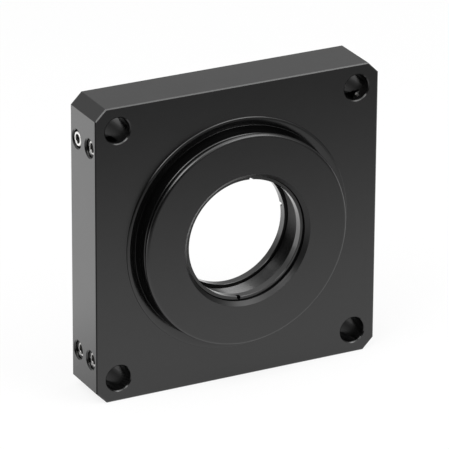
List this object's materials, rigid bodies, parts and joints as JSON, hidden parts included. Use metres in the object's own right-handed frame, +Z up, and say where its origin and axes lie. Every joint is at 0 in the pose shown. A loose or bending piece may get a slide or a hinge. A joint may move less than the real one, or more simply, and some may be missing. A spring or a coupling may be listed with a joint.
{
  "type": "optical cage plate",
  "caption": "Square black cage plate with corner rod holes, a turned round male dovetail, a threaded lens bore with retaining rings, and edge set screws.",
  "frame": {"origin": "on the optical axis, in the plate's front face, at the centre of the four rod holes", "axes": "+Z up, +X to the right seen from the front, -Y along the optical axis out of the dovetail"},
  "size_m": [0.0712, 0.0177, 0.0712],
  "materials": {
    "black_anodised_plate": "satin black anodised",
    "black_anodised_ring": "satin black anodised",
    "bright_screw": "bright stainless steel"
  },
  "bodies": {
    "plate": {"plate_body": "black_anodised_plate"},
    "front_ring": {"front_retaining_ring": "black_anodised_ring"},
    "rear_ring": {"rear_retaining_ring": "black_anodised_ring"},
    "screw_left_upper_front": {"set_screw_left_upper_front": "bright_screw"},
    "screw_left_upper_rear": {"set_screw_left_upper_rear": "bright_screw"},
    "screw_left_lower_front": {"set_screw_left_lower_front": "bright_screw"},
    "screw_left_lower_rear": {"set_screw_left_lower_rear": "bright_screw"},
    "screw_right_upper_front": {"set_screw_right_upper_front": "bright_screw"},
    "screw_right_upper_rear": {"set_screw_right_upper_rear": "bright_screw"},
    "screw_right_lower_front": {"set_screw_right_lower_front": "bright_screw"},
    "screw_right_lower_rear": {"set_screw_right_lower_rear": "bright_screw"}
  },
  "joints": [
    {"name": "front_ring_travel", "type": "slide", "parent": "plate", "child": "front_ring", "axis": [0, 1, 0], "range_m": [-0.0008, 0.0025]},
    {"name": "rear_ring_travel", "type": "slide", "parent": "plate", "child": "rear_ring", "axis": [0, -1, 0], "range_m": [-0.0015, 0.0025]},
    {"name": "screw_left_upper_front_travel", "type": "slide", "parent": "plate", "child": "screw_left_upper_front", "axis": [1, 0, 0], "range_m": [-0.0018, 0.002]},
    {"name": "screw_left_upper_rear_travel", "type": "slide", "parent": "plate", "child": "screw_left_upper_rear", "axis": [1, 0, 0], "range_m": [-0.00125, 0.00255]},
    {"name": "screw_left_lower_front_travel", "type": "slide", "parent": "plate", "child": "screw_left_lower_front", "axis": [1, 0, 0], "range_m": [-0.0018, 0.002]},
    {"name": "screw_left_lower_rear_travel", "type": "slide", "parent": "plate", "child": "screw_left_lower_rear", "axis": [1, 0, 0], "range_m": [-0.0018, 0.002]},
    {"name": "screw_right_upper_front_travel", "type": "slide", "parent": "plate", "child": "screw_right_upper_front", "axis": [-1, 0, 0], "range_m": [-0.0018, 0.002]},
    {"name": "screw_right_upper_rear_travel", "type": "slide", "parent": "plate", "child": "screw_right_upper_rear", "axis": [-1, 0, 0], "range_m": [-0.0018, 0.002]},
    {"name": "screw_right_lower_front_travel", "type": "slide", "parent": "plate", "child": "screw_right_lower_front", "axis": [-1, 0, 0], "range_m": [-0.0018, 0.002]},
    {"name": "screw_right_lower_rear_travel", "type": "slide", "parent": "plate", "child": "screw_right_lower_rear", "axis": [-1, 0, 0], "range_m": [-0.0018, 0.002]}
  ]
}
